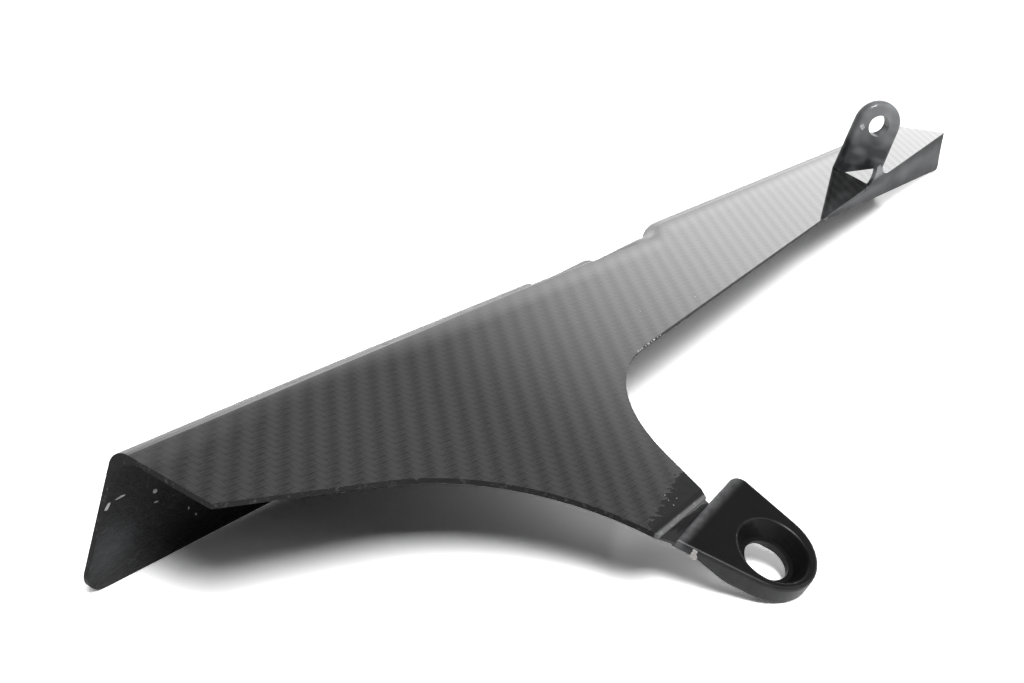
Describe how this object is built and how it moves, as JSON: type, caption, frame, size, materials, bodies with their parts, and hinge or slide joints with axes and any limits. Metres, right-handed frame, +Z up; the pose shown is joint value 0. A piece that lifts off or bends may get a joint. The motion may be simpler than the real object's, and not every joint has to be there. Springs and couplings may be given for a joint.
{
  "type": "motorcycle chain guard",
  "caption": "Long folded carbon-fibre chain guard with a tapering flange, a curved arm to a recessed bolt tab, an upright rear bolt tab and a turned-down tail strip.",
  "frame": {"origin": "centre of the bounding box on the table plane the guard rests on", "axes": "+X along the fold from the front end to the rear tip, +Y towards the flange, +Z up from the table"},
  "size_m": [0.4812, 0.116, 0.0479],
  "materials": {
    "carbon": "black twill weave under a gloss clear coat"
  },
  "bodies": {
    "root": {"chain_guard": "carbon"}
  },
  "joints": []
}
